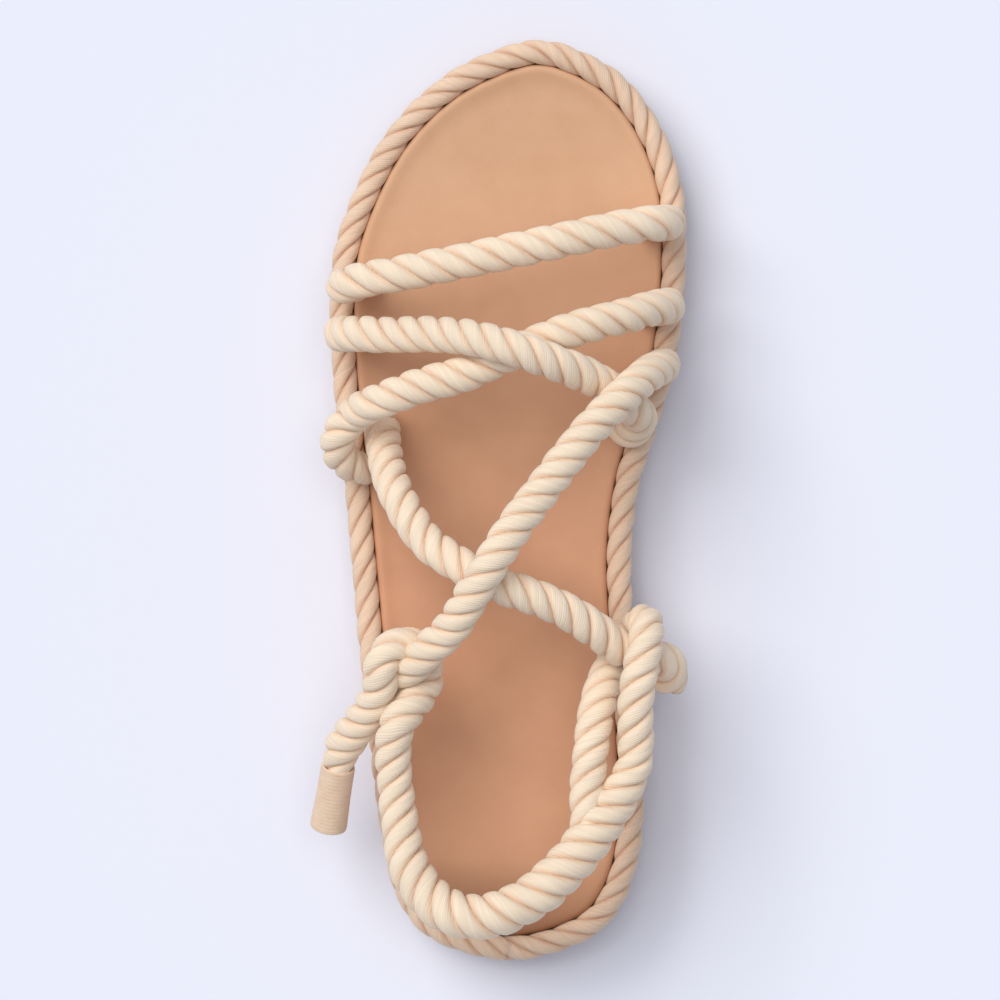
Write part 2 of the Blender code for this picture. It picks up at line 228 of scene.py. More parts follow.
# %% [markdown]
# ## Colours and nodes
#
# Colours are read off a screen as sRGB hex values, but a shader works in linear light, so one function
# turns them round. A second small function adds any shader node with its settings and its links, which
# keeps a material down to the few lines that matter.

# %% Helpers for materials
def linear(hex_colour):
    """Linear RGBA for an sRGB hex value."""
    parts = [int(hex_colour[i:i + 2], 16) / 255 for i in (1, 3, 5)]
    return (*(c / 12.92 if c <= 0.04045 else ((c + 0.055) / 1.055) ** 2.4 for c in parts), 1.0)


def add_node(material, kind, sockets=None, **settings):
    """Adds a node. Settings are its properties, and a socket takes a value, a node or a node's output."""
    made = material.node_tree.nodes.new("ShaderNode" + kind)
    for name, value in settings.items():
        setattr(made, name, value)
    for socket, source in (sockets or {}).items():
        if isinstance(source, bpy.types.Node):
            source = source.outputs[0]
        if isinstance(source, bpy.types.NodeSocket):
            material.node_tree.links.new(source, made.inputs[socket])
        else:
            made.inputs[socket].default_value = source
    return made


def new_material(name):
    """An empty material and its surface shader."""
    material = bpy.data.materials.new(name)
    material.use_nodes = True
    return material, material.node_tree.nodes["Principled BSDF"]


print("cream as linear light:", [round(value, 3) for value in linear("#f2e1c8")])

# %% [markdown]
# ## Studio
#
# The shoe stands on pale paper under two large soft lights. The key stands to the upper left and throws a
# soft shadow to the lower right. The fill hangs almost straight above and reaches between the straps, so
# that the footbed stays even. Light from all around fills the rest. Large area lamps could do this, but
# their light falls off over the floor. A sun with a wide angle is as soft and the same everywhere. The paper
# is uncoated and matt, so it mirrors nothing, and its disc is wide enough to reach the horizon.

# %% Floor and light
FLOOR_RADIUS = 8.0
FLOOR_BORDER = 0.8 * FLOOR_RADIUS
FLOOR_POINTS = 64
LIGHTS = (
    # name, from, strength, angle across
    ("soft_key", (-0.43, 0.42, 0.8), 1.9, math.radians(42)),
    ("soft_fill", (0.05, 0.1, 0.99), 0.8, math.radians(36)),
)
WARM_WHITE = (1.0, 0.972, 0.91)
AMBIENT = 0.345


def deselect():
    bpy.ops.object.select_all(action="DESELECT")


deselect()
bpy.ops.mesh.primitive_circle_add(vertices=FLOOR_POINTS, radius=FLOOR_RADIUS, fill_type="NGON")
floor = bpy.context.object
floor.name = "floor"
bpy.ops.object.mode_set(mode="EDIT")
bpy.ops.mesh.select_all(action="SELECT")
bpy.ops.mesh.inset(thickness=FLOOR_BORDER)
bpy.ops.object.mode_set(mode="OBJECT")
paper, shader = new_material("matt_studio_paper")
shader.inputs["Base Color"].default_value = linear("#eaecfb")
shader.inputs["Roughness"].default_value = 0.95
shader.inputs["Specular IOR Level"].default_value = 0.1
floor.data.materials.append(paper)

for name, origin, strength, angle in LIGHTS:
    light_data = bpy.data.lights.new(name, "SUN")
    light_data.energy = strength
    light_data.angle = angle
    light_data.color = WARM_WHITE
    light = bpy.data.objects.new(name, light_data)
    bpy.context.scene.collection.objects.link(light)
    light.rotation_euler = Vector(origin).to_track_quat("Z", "Y").to_euler()
    print(name, "stands", round(math.degrees(math.asin(Vector(origin).normalized().z))), "degrees high")

world = bpy.data.worlds.new("studio")
bpy.context.scene.world = world
world.use_nodes = True
background = world.node_tree.nodes["Background"]
background.inputs["Color"].default_value = linear("#e6f1ff")
background.inputs["Strength"].default_value = AMBIENT
bpy.context.scene.view_settings.view_transform = "Standard"

# %% [markdown]
# ## Laid cotton rope
#
# The rope is plain three-strand cotton: yarns are twisted into strands, and three strands are laid the
# other way round each other, so that the strands climb to the right and the yarns run nearly straight
# along the rope. A bump on a round tube could draw the strands, but they are thick enough to show in the
# outline, so they are modelled. Three sections, pressed to fat ellipses, go round the rope's axis as they
# move along it: that is a Screw modifier.

# %% A straight rope of three strands
STRANDS = 3
STRAND_POINTS = 22
STRAND_DEEP = 0.49
STRAND_WIDE = 0.66
RING_STEP = 0.9
RIGHT_HAND_LAY = 1


def apply_modifier(piece, kind, **settings):
    """Adds one modifier with its settings and applies it."""
    deselect()
    piece.select_set(True)
    bpy.context.view_layer.objects.active = piece
    modifier = piece.modifiers.new(kind.lower(), kind)
    for name, value in settings.items():
        setattr(modifier, name, value)
    bpy.ops.object.modifier_apply(modifier=modifier.name)


def straight_rope(name, thickness, length, turns):
    """Rope along X from the origin. Its points remember where they lie round and along their strand."""
    radius = thickness / 2 * MM
    deselect()
    bpy.ops.mesh.primitive_circle_add(vertices=STRAND_POINTS, radius=1.0, rotation=(0, TURN / 4, 0))
    rope = bpy.context.object
    rope.name = rope.data.name = name
    bpy.ops.object.transform_apply(location=False, rotation=True, scale=False)
    for label, axis in (("strand_out", 2), ("strand_round", 1)):
        attribute = rope.data.attributes.new(label, "FLOAT", "POINT")
        attribute.data.foreach_set("value", [vertex.co[axis] for vertex in rope.data.vertices])
    bpy.ops.object.mode_set(mode="EDIT")
    bpy.ops.mesh.select_all(action="SELECT")
    section = (1, STRAND_WIDE * radius, STRAND_DEEP * radius)
    bpy.ops.transform.resize(value=section, center_override=(0, 0, 0))
    bpy.ops.transform.translate(value=(0, 0, (1 - STRAND_DEEP) * radius))
    for _ in range(STRANDS - 1):
        bpy.ops.mesh.duplicate()
        bpy.ops.transform.rotate(value=TURN / STRANDS, orient_axis="X", center_override=(0, 0, 0))
    bpy.ops.object.mode_set(mode="OBJECT")
    steps = round(length / RING_STEP)
    apply_modifier(
        rope, "SCREW", axis="X", angle=RIGHT_HAND_LAY * TURN * turns, screw_offset=length * MM,
        steps=steps, render_steps=steps, use_merge_vertices=False,
    )
    along = rope.data.attributes.new("rope_along", "FLOAT", "POINT")
    along.data.foreach_set("value", [vertex.co.x / MM for vertex in rope.data.vertices])
    return rope


print("points in one section of a rope:", STRANDS * STRAND_POINTS)

# %% [markdown]
# A real rope is laid straight and bent afterwards, and so is this one. A Curve modifier bends it along its
# route and also thickens it where the route says so, which a bevelled curve could not do with strands. Any
# piece is then finished in the same way: doubled points are joined and all faces turned outward, and it is
# given its material while the CAD node that it stands for is hidden.

# %% Bending a rope along its route
ROUTE_STEP = 2.0


def route_curve(name, line, thickness, closed):
    """Curve through the route's points, with each point's radius as a share of the rope's thickness."""
    curve_data = bpy.data.curves.new(name + "_route", "CURVE")
    curve_data.dimensions = "3D"
    curve_data.twist_mode = "Z_UP" if closed else "MINIMUM"
    curve_data.use_radius = True
    spline = curve_data.splines.new("POLY")
    spline.points.add(len(line) - 1)
    spline.use_cyclic_u = closed
    for point, (x, y, z, thick) in zip(spline.points, line):
        point.co = (x * MM, y * MM, z * MM, 1.0)
        point.radius = thick / thickness
    curve = bpy.data.objects.new(name + "_route", curve_data)
    bpy.context.scene.collection.objects.link(curve)
    return curve


print("a route has a point every", ROUTE_STEP, "mm")

# %% Finishing a piece
MERGE = 0.005


def finish_mesh(piece):
    """Joins doubled points, turns all faces outward and shades the piece smooth."""
    deselect()
    piece.select_set(True)
    bpy.context.view_layer.objects.active = piece
    bpy.ops.object.mode_set(mode="EDIT")
    bpy.ops.mesh.select_all(action="SELECT")
    bpy.ops.mesh.remove_doubles(threshold=MERGE * MM)
    bpy.ops.mesh.normals_make_consistent(inside=False)
    bpy.ops.object.mode_set(mode="OBJECT")
    bpy.ops.object.shade_smooth()


def place(piece, node, material):
    """Gives a finished piece its material and its place in the frame, and hides the CAD node it stands for.
    """
    piece.data.materials.clear()
    piece.data.materials.append(material)
    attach(piece, "root")
    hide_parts(node)
    triangles = sum(len(face.vertices) - 2 for face in piece.data.polygons)
    print(piece.name, "has", triangles, "triangles")


print("points closer than", MERGE, "mm are joined")

# %% Laying a rope
ROPE = 10.0
ROPE_PITCH = 18.4
UNEVEN_SIZE = 7.0
UNEVEN_DEPTH = 0.5

unevenness = bpy.data.textures.new("hand_laid_unevenness", "CLOUDS")
unevenness.noise_scale = UNEVEN_SIZE * MM
unevenness.noise_depth = 1


def lay_rope(name, route, node, material, thickness=ROPE, pitch=ROPE_PITCH, closed=False):
    """Rope along its route: twisted straight, closed at its cut ends, bent, and made slightly uneven."""
    line = smooth_line(route, ROUTE_STEP, closed)
    ends = np.vstack((line, line[:1])) if closed else line
    length = float(np.sum(np.linalg.norm(np.diff(ends[:, :3], axis=0), axis=1)))
    turns = round(length / pitch) if closed else length / pitch
    rope = straight_rope(name, thickness, length, turns)
    if not closed:
        bpy.ops.object.mode_set(mode="EDIT")
        bpy.ops.mesh.select_all(action="SELECT")
        bpy.ops.mesh.fill_holes(sides=0)
        bpy.ops.object.mode_set(mode="OBJECT")
    curve = route_curve(name, line, thickness, closed)
    apply_modifier(rope, "CURVE", object=curve, deform_axis="POS_X")
    bpy.data.objects.remove(curve)
    finish_mesh(rope)
    apply_modifier(rope, "DISPLACE", texture=unevenness, strength=UNEVEN_DEPTH * MM, mid_level=0.5)
    print(name, "is", round(length), "mm long with", round(turns, 1), "turns")
    place(rope, node, material)


print("a strand of a plain strap turns once in", ROPE_PITCH, "mm")

# %% [markdown]
# Undyed cotton is a warm cream that never shines: its loose fibres scatter light into a soft bloom at
# grazing angles, which is what the sheen is for. Each strand is a bundle of yarns. They are too small to
# model, so a bump draws them from the strand's own coordinates, and every yarn gets its own slight shade.
# Painted shade darkens and warms the colour between the strands, where light bounces from strand to strand.
# Real yarns are about 1 mm thick and fibres far finer than 0.1 mm. Both are drawn coarser, so that they show.

# %% Soft-laid cotton
# Yarns seen round a strand, and their turns round it for each mm of rope
YARNS = 11
YARN_TWIST = 0.062
# Sizes in mm
YARN_RELIEF = 0.14
WANDER = 5.0
FIBRE = 0.35
TONE_PATCH = 28.0
# How far yarns stray, in yarns, and how much of the relief is fibre
STRAY = 0.9
FIBRE_SHARE = 0.45


def laid_cotton(name, light, shade):
    """Laid cotton: yarn ridges along the rope, tone from yarn to yarn, painted warm shade between the
    strands.
    """
    cotton, shader = new_material(name)
    out = add_node(cotton, "Attribute", attribute_name="strand_out").outputs["Fac"]
    across = add_node(cotton, "Attribute", attribute_name="strand_round").outputs["Fac"]
    along = add_node(cotton, "Attribute", attribute_name="rope_along").outputs["Fac"]
    place_on = add_node(cotton, "TexCoord").outputs["Object"]
    wander = add_node(cotton, "TexNoise", {"Vector": place_on, "Scale": 1 / (WANDER * MM), "Detail": 2.0})
    fibre = add_node(cotton, "TexNoise", {"Vector": place_on, "Scale": 1 / (FIBRE * MM), "Detail": 3.0})
    tone = add_node(
        cotton, "TexNoise", {"Vector": place_on, "Scale": 1 / (TONE_PATCH * MM), "Detail": 3.0})
    angle = add_node(cotton, "Math", {0: across, 1: out}, operation="ARCTAN2")
    turned = add_node(cotton, "Math", {0: angle, 1: YARNS / TURN}, operation="MULTIPLY")
    twisted = add_node(
        cotton, "Math", {0: along, 1: YARNS * YARN_TWIST, 2: turned}, operation="MULTIPLY_ADD")
    phase = add_node(cotton, "Math", {0: wander, 1: STRAY, 2: twisted}, operation="MULTIPLY_ADD")
    wave = add_node(cotton, "Math", {0: phase, 1: math.pi}, operation="MULTIPLY")
    swing = add_node(cotton, "Math", {0: wave}, operation="SINE")
    ridge = add_node(cotton, "Math", {0: swing}, operation="ABSOLUTE")
    yarn = add_node(cotton, "Math", {0: phase}, operation="FLOOR")
    shade_of_yarn = add_node(cotton, "TexWhiteNoise", {"W": yarn}, noise_dimensions="1D")

    # Painted shade: from each strand's crown to the valleys between strands the colour turns to the shade
    # tone.
    crown_painted_light = add_node(cotton, "MapRange", {"Value": out, "From Min": -0.9, "From Max": 0.7})
    # Painted shade in the grooves between yarns: the colour there drops to 0.86 of its value.
    yarn_groove_painted_shade = add_node(cotton, "MapRange", {"Value": ridge, "From Max": 0.6, "To Min": 0.86})
    painted_light_share = add_node(cotton, "Math", {0: crown_painted_light, 1: yarn_groove_painted_shade}, operation="MULTIPLY")
    colour = add_node(
        cotton, "MixRGB", {"Fac": painted_light_share, "Color1": linear(shade), "Color2": linear(light)})
    streak = add_node(cotton, "MapRange", {"Value": shade_of_yarn, "To Min": 0.94, "To Max": 1.03})
    drift = add_node(cotton, "MapRange", {
        "Value": tone, "From Min": 0.3, "From Max": 0.7, "To Min": 0.95, "To Max": 1.03})
    toned = add_node(cotton, "Math", {0: streak, 1: drift}, operation="MULTIPLY")
    final = add_node(cotton, "VectorMath", {0: colour, 1: toned}, operation="MULTIPLY")
    height = add_node(cotton, "Math", {0: fibre, 1: FIBRE_SHARE, 2: ridge}, operation="MULTIPLY_ADD")
    bump = add_node(cotton, "Bump", {"Height": height, "Strength": 0.6, "Distance": YARN_RELIEF * MM})
    for source, socket in ((final, "Base Color"), (bump, "Normal")):
        cotton.node_tree.links.new(source.outputs[0], shader.inputs[socket])
    shader.inputs["Roughness"].default_value = 0.92
    shader.inputs["IOR"].default_value = 1.53
    shader.inputs["Specular IOR Level"].default_value = 0.25
    shader.inputs["Sheen Weight"].default_value = 0.25
    shader.inputs["Sheen Roughness"].default_value = 0.45
    shader.inputs["Sheen Tint"].default_value = linear("#fff4e4")
    return cotton


# The second colour of each cotton is the tone of its painted shade between the strands.
rope_cotton = laid_cotton("soft_laid_cotton", "#f8e4cd", "#e8c4a6")
trim_cotton = laid_cotton("soft_laid_trim_cotton", "#edcfb6", "#d09f80")
print("materials:", rope_cotton.name, trim_cotton.name)

# %% [markdown]
# ## Rope trim
#
# A thinner rope lies all round the rim of the sole and hides the seam between sole and footbed. It is laid
# more slackly than the straps, and its cotton is a shade darker. It is one closed ring, so its strands have
# to meet themselves: the number of turns is rounded to a whole one, and the doubled points at the join are
# merged.

# %% Trim on the rim of the sole
TRIM = 7.0
TRIM_PITCH = 23.0
GAP = 0.3

trim_route = [(x, y, deck(y) + GAP + TRIM / 2, TRIM) for x, y in sole_ring(TRIM / 2)]
lay_rope("trim_rope_laid", trim_route, "trim_rope", trim_cotton, TRIM, TRIM_PITCH, closed=True)

# %% [markdown]
# ## Straps
#
# Every strap comes up out of a slot in the footbed, just inside the trim, stands up to a shoulder and then
# arches over the foot. Each point could be given its height by hand, but then straps that should lie on one
# foot would not agree. So a row gives only where a strap is seen from above and how far it is lifted to pass
# over another one, and its height follows from the foot's shape.

# %% Where a strap lies
FOOTBED_THICKNESS = 4.0
SLOT_ROPE = 7.0
SLOT_WIDTH = SLOT_ROPE + 4 * GAP
SLOT_INSET = TRIM + GAP + SLOT_WIDTH / 2
SHOULDER_RISE = 20.0
SHOULDER_INSET = 5.0
ARCH_POWER = 2.4
STRAP_END = (
    # share of the way to the shoulder, inset from the sole's edge, rise over the deck, thickness
    (0.0, SLOT_INSET, 2 * GAP, SLOT_ROPE),
    (0.0, SLOT_INSET, GAP + FOOTBED_THICKNESS, SLOT_ROPE),
    (0.25, 10.0, 9.0, 8.6),
    (0.7, 7.2, 14.0, ROPE),
)
SLOT_ROWS = 2


def on_last(x, y, lift):
    """Centre of a strap that lies across the foot at x, y."""
    lateral = edge_x(LATERAL, y, SHOULDER_INSET)
    medial = edge_x(MEDIAL, y, SHOULDER_INSET)
    share = min(1.0, abs(2 * x - lateral - medial) / (medial - lateral))
    shoulder = deck(y) + SHOULDER_RISE
    arch = (1 - share ** ARCH_POWER) ** (1 / ARCH_POWER)
    height = shoulder + (table_value(RIDGE, 1, y) - shoulder) * arch
    return (x, y, height + lift, ROPE)


def anchor(side, y, shoulder, count):
    """Strap end going down inside the trim, from the slot in the footbed up towards its shoulder."""
    rows = []
    for share, inset, rise, thickness in STRAP_END[:count]:
        along = y + share * (shoulder[1] - y)
        rows.append((edge_x(side, along, inset), along, deck(along) + rise, thickness))
    return rows


def strap_route(lying=(), free=(), start=None, end=None):
    """All points of one rope: start anchor, rows on the foot, rows clear of it, end anchor."""
    route = [on_last(*row) for row in lying] + [(*row, ROPE)[:4] for row in free]
    head = anchor(*start, route[0], len(STRAP_END) if lying else SLOT_ROWS) if start else ()
    tail = anchor(*end, route[-1], SLOT_ROWS if free else len(STRAP_END))[::-1] if end else ()
    return [*head, *route, *tail]


print("a slot's middle lies", round(SLOT_INSET, 1), "mm inside the sole's edge")

# %% [markdown]
# The toe strap is the simplest: it lies across the toes on its own and goes down at both sides. It is laid as
# slackly as the trim, so its strands run longer than those of the other straps.

# %% Toe strap
TOE_STRAP = (
    # x, y, lift
    (-42.5, 59.0, 0.0),
    (-38.5, 60.0, 0.0),
    (-28.5, 61.5, 0.0),
    (-12.0, 64.5, 0.0),
    (4.5, 68.0, 0.0),
    (21.0, 71.5, 0.0),
    (34.5, 74.5, 0.0),
    (43.5, 76.0, 0.0),
    (47.0, 76.5, 0.0),
)
TOE_PITCH = 22.6

slots = [(LATERAL, 61.2), (MEDIAL, 76.4)]
toe_route = strap_route(TOE_STRAP, start=slots[0], end=slots[1])
lay_rope("toe_strap_laid", toe_route, "toe_strap", rope_cotton, pitch=TOE_PITCH)

# %% [markdown]
# Two front straps cross behind the toes. The one from the outer side lies over the other and goes down on
# the inner side behind it, so its rows are lifted by almost a rope's thickness where they cross. The ends
# that turn down leave the foot's shape, so their rows give the height too.

# %% Front straps
STRAP_OUTER_FRONT = (
    # x, y, lift
    (-43.5, 46.0, 0.0),
    (-38.5, 45.5, 0.0),
    (-28.0, 45.0, 0.0),
    (-16.0, 45.0, 2.5),
    (-5.0, 43.5, 6.5),
    (6.5, 40.5, 8.5),
    (18.0, 36.5, 5.5),
    (26.5, 33.0, 0.0),
    (33.2, 29.0, -5.0),
    (37.2, 25.4, -4.5),
)
STRAP_INNER_FRONT = (
    # x, y, lift
    (47.0, 53.5, 0.0),
    (43.0, 52.5, 0.0),
    (34.5, 50.0, 0.0),
    (22.0, 46.5, 0.0),
    (6.0, 40.5, -0.5),
    (-7.5, 34.5, -0.5),
    (-20.0, 31.0, 0.0),
    (-32.5, 26.5, 1.0),
    (-39.5, 23.0, 0.0),
)
OUTER_FRONT_END = (
    # x, y, z, thickness where it isn't the plain rope's
    (39.2, 22.4, 29.8),
    (38.4, 20.2, 27.4, 9.6),
    (36.4, 19.0, 25.0, 9.2),
    (34.3, 19.6, 22.8, 8.4),
    (33.0, 21.2, 20.6, 7.4),
)
INNER_FRONT_END = (
    # x, y, z, thickness where it isn't the plain rope's
    (-43.4, 18.4, 36.0),
    (-44.0, 13.6, 31.0),
    (-41.2, 9.8, 26.6, 9.6),
    (-36.6, 8.3, 22.6, 8.2),
    (-34.0, 8.1, 19.4, 7.2),
)
outer_ends = [(LATERAL, 46.4), (MEDIAL, 21.6)]
inner_ends = [(MEDIAL, 52.4), (LATERAL, 8.0)]
slots += outer_ends + inner_ends
outer_front = strap_route(STRAP_OUTER_FRONT, OUTER_FRONT_END, outer_ends[0], outer_ends[1])
lay_rope("outer_front_strap", outer_front, "rope_upper", rope_cotton)
inner_front = strap_route(STRAP_INNER_FRONT, INNER_FRONT_END, inner_ends[0], inner_ends[1])
lay_rope("inner_front_strap", inner_front, "rope_upper", rope_cotton)

# %% [markdown]
# Two instep straps make the large cross over the foot. The upper one comes down at the outer ankle, where
# the sling is hitched round it. The lower one runs through the eye of the sling at the inner ankle, and its
# short cut end sticks out there.

# %% Instep straps
INSTEP_OVER = (
    # x, y, lift
    (45.5, 37.0, 0.0),
    (41.2, 34.0, 6.2),
    (34.6, 28.0, 8.4),
    (24.4, 17.0, 8.5),
    (13.8, 3.5, 8.0),
    (5.0, -8.5, 8.5),
    (-1.3, -18.5, 9.0),
    (-7.0, -28.0, 6.5),
    (-11.4, -34.5, 3.0),
    (-16.6, -39.6, 1.5),
)
INSTEP_OVER_END = (
    # x, y, z, thickness where it isn't the plain rope's
    (-21.0, -43.8, 54.4),
    (-24.0, -47.0, 50.6, 9.4),
    (-26.0, -49.6, 45.0, 9.0),
    (-27.0, -51.0, 39.0, 9.0),
    (-27.2, -51.4, 33.0, 9.0),
)
INSTEP_UNDER = (
    # x, y, z
    (-32.5, 20.5, 24.0),
    (-31.5, 15.5, 32.0),
    (-30.0, 9.0, 39.5),
    (-26.5, 0.5, 46.5),
    (-18.5, -11.3, 52.5),
    (-9.4, -17.6, 56.0),
    (-0.5, -22.4, 57.5),
    (10.5, -26.0, 57.0),
    (20.5, -30.6, 54.5),
    (27.4, -35.4, 50.8),
    (33.0, -39.8, 46.0),
    (38.6, -42.4, 42.0),
    (43.6, -43.2, 39.4),
    (46.8, -44.6, 36.2),
    (47.7, -47.6, 32.4),
    (47.1, -50.2, 29.6),
)
over_start, under_start = (MEDIAL, 30.5), (LATERAL, 23.0)
slots += [over_start, under_start]
instep_over = strap_route(INSTEP_OVER, INSTEP_OVER_END, over_start)
lay_rope("instep_over_strap", instep_over, "rope_upper", rope_cotton)
instep_under = strap_route((), INSTEP_UNDER, under_start)
lay_rope("instep_under_strap", instep_under, "rope_upper", rope_cotton)

# %% [markdown]
# ## Heel sling
#
# One rope makes the whole back of the sandal. From its bound end it makes a half hitch round the upper
# instep strap, runs behind the heel and comes back round the lower instep strap as an eye. Its end is
# spliced into itself, and there the rope is thicker: the fourth number of a row gives the thickness. A
# simulated rope could tie the hitch, but a listed route keeps every turn where it is seen.

# %% Sling with hitch, splice and eye
SPLICE = 12.6
WHIPPED_END = (-47.3, -90.5, 26.0)
TAPE_START = (-43.9, -73.2, 34.0)
BOUND = 8.6
FLARED = 9.3
HEEL_SLING = (
    # x, y, z, thickness where it isn't the plain rope's
    (*WHIPPED_END, FLARED),
    (-45.6, -81.8, 30.0, BOUND),
    (-44.6, -76.7, 32.4, BOUND),
    (*TAPE_START, 8.8),
    (-43.4, -70.9, 35.1, 9.7),
    (-42.2, -67.8, 37.0, 10.6),
    (-39.8, -64.4, 39.8, 10.6),
    (-36.4, -60.0, 44.0, 10.4),
    (-32.9, -55.0, 48.6),
    (-30.8, -49.6, 52.4),
    (-30.4, -44.4, 54.8),
    (-28.4, -40.8, 54.8),
    (-25.0, -39.2, 52.8, 9.8),
    (-21.8, -39.8, 49.2, 9.4),
    (-19.6, -42.8, 45.4, 9.2),
    (-18.6, -47.4, 43.8, 9.2),
    (-19.7, -52.0, 46.4, 9.4),
    (-22.9, -56.0, 50.8),
    (-26.4, -60.8, 52.2),
    (-27.7, -67.4, 49.8),
    (-27.2, -78.0, 47.6),
    (-25.8, -89.0, 48.5, 10.6),
    (-24.0, -97.7, 50.2, 11.2),
    (-20.8, -104.0, 52.0, 12.0),
    (-16.2, -109.0, 54.0, SPLICE),
    (-10.2, -112.1, 55.5, SPLICE),
    (-3.6, -112.8, 56.0, SPLICE),
    (2.0, -111.6, 56.0, SPLICE),
    (11.5, -106.8, 55.0, SPLICE),
    (20.5, -98.2, 53.0, SPLICE),
    (28.0, -88.8, 51.0, SPLICE),
    (34.0, -80.0, 49.5, 11.2),
    (37.6, -72.5, 49.0),
    (38.3, -64.0, 50.0),
    (38.2, -55.5, 51.5),
    (39.2, -47.2, 52.0),
    (40.6, -40.6, 51.5),
    (41.2, -35.6, 48.6),
    (40.6, -33.4, 43.4),
    (38.6, -34.8, 37.8, 9.6),
    (35.0, -39.4, 34.4, 9.4),
    (31.4, -45.4, 36.4, 9.4),
    (29.0, -51.0, 41.4),
    (27.4, -57.5, 45.6),
    (26.4, -65.0, 47.8),
    (25.6, -72.5, 49.0),
    (25.0, -80.5, 50.2, 9.6),
    (24.6, -88.5, 51.2, 8.6),
    (21.4, -96.0, 52.6, 7.0),
    (16.4, -102.2, 53.8, 5.4),
)
lay_rope("heel_sling_rope", strap_route((), HEEL_SLING), "rope_upper", rope_cotton)

# %% [markdown]
# ## Bound end
#
# The sling's tail ends in a short binding that keeps the cut strands together: cotton tape wound tight, so
# the rope is a little thinner where it goes in and flares out at the cut. A cylinder would look like a cap.
# Instead a ring is extruded along the tail in steps, and each step is scaled to the tape's radius there, with
# a plain edge where the rope goes in and a lip at the cut.

# %% Binding of the tail
BINDING = (
    # share of its length, radius
    (0.0, 4.2),
    (0.0, 4.62),
    (0.02, 4.72),
    (0.05, 4.72),
    (0.3, 4.72),
    (0.65, 4.9),
    (0.93, 5.15),
    (0.985, 5.15),
    (1.0, 5.05),
    (1.0, 4.8),
    (0.965, 4.65),
)
BINDING_POINTS = 48

tail_start = Vector(TAPE_START) * MM
tail_end = Vector(WHIPPED_END) * MM
tail_axis = tail_end - tail_start
deselect()
bpy.ops.mesh.primitive_circle_add(
    vertices=BINDING_POINTS, radius=BINDING[0][1] * MM, location=tail_start,
    rotation=tail_axis.to_track_quat("Z", "Y").to_euler(),
)
binding = bpy.context.object
binding.name = binding.data.name = "tail_binding"
bpy.ops.object.transform_apply(location=True, rotation=True, scale=True)
bpy.ops.object.mode_set(mode="EDIT")
bpy.ops.mesh.select_all(action="SELECT")
for (before, last), (share, radius) in zip(BINDING, BINDING[1:]):
    bpy.ops.mesh.extrude_region_move(TRANSFORM_OT_translate={"value": tail_axis * (share - before)})
    bpy.ops.transform.resize(value=(radius / last,) * 3, center_override=tail_start + tail_axis * share)
bpy.ops.object.mode_set(mode="OBJECT")
finish_mesh(binding)
apply_modifier(binding, "SUBSURF", levels=1, render_levels=1)
print("binding is", round(tail_axis.length / MM, 1), "mm long")

# %% [markdown]
# The tape is plain-woven cotton, pulled smooth: it has the rope's matt cream, a little darker, and no
# strands. Its threads show as fine rows round the tail. A bump is enough for them, because they are too fine
# to change the outline. A Mapping node turns the rows to lie square to the tail.

# %% Woven cotton tape
# Sizes in mm, and how much of the relief is mottle
TAPE_THREAD = 0.55
TAPE_MOTTLE = 3.0
TAPE_RELIEF = 0.06
MOTTLE_SHARE = 0.5


def cotton_tape():
    """Plain-woven cotton tape: fine rows of threads round the tail, a little darker than the rope."""
    tape, shader = new_material("woven_cotton_tape")
    place_on = add_node(tape, "TexCoord").outputs["Object"]
    turn_back = (tail_axis.to_track_quat("Z", "Y").inverted()).to_euler()
    flat = add_node(tape, "Mapping", {"Vector": place_on, "Rotation": turn_back})
    split = add_node(tape, "SeparateXYZ", {"Vector": flat})
    rows = add_node(
        tape, "Math", {0: split.outputs["Z"], 1: math.pi / (TAPE_THREAD * MM)}, operation="MULTIPLY")
    weft = add_node(tape, "Math", {0: rows}, operation="SINE")
    mottle = add_node(
        tape, "TexNoise", {"Vector": place_on, "Scale": 1 / (TAPE_MOTTLE * MM), "Detail": 4.0})
    colour = add_node(
        tape, "MixRGB", {"Fac": mottle, "Color1": linear("#dcba9d"), "Color2": linear("#eed6be")})
    height = add_node(tape, "Math", {0: mottle, 1: MOTTLE_SHARE, 2: weft}, operation="MULTIPLY_ADD")
    bump = add_node(tape, "Bump", {"Height": height, "Strength": 0.4, "Distance": TAPE_RELIEF * MM})
    for source, socket in ((colour, "Base Color"), (bump, "Normal")):
        tape.node_tree.links.new(source.outputs[0], shader.inputs[socket])
    shader.inputs["Roughness"].default_value = 0.85
    shader.inputs["Sheen Weight"].default_value = 0.15
    return tape


place(binding, "tail_whipping", cotton_tape())

# %% [markdown]
# ## Footbed
#
# The footbed is a board covered in smooth tan leather that is turned over at the edge. That gives it a soft
# raised rim, with a dark crease between it and the trim. It starts as a filled circle with as many corners
# as the sole's outline has points. The corners are slid onto the outline, the blank is extruded to its
# thickness, and a row of insets, each moved up or down a little, rolls the rim. A bevel would be quicker,
# but it can't dip again behind the crest. Then the flat faces are cut across and laid on the deck's curve.

# %% Blank with the sole's outline
FLAT = 0.9
BLANK_RADIUS = 0.1


def pick_faces(piece, wanted):
    """In edit mode, selects only the wanted faces and counts them."""
    bpy.ops.mesh.select_mode(type="FACE")
    bpy.ops.mesh.select_all(action="DESELECT")
    cage = bmesh.from_edit_mesh(piece.data)
    count = 0
    for face in cage.faces:
        picked = bool(wanted(face))
        face.select_set(picked)
        count += picked
    bmesh.update_edit_mesh(piece.data)
    return count


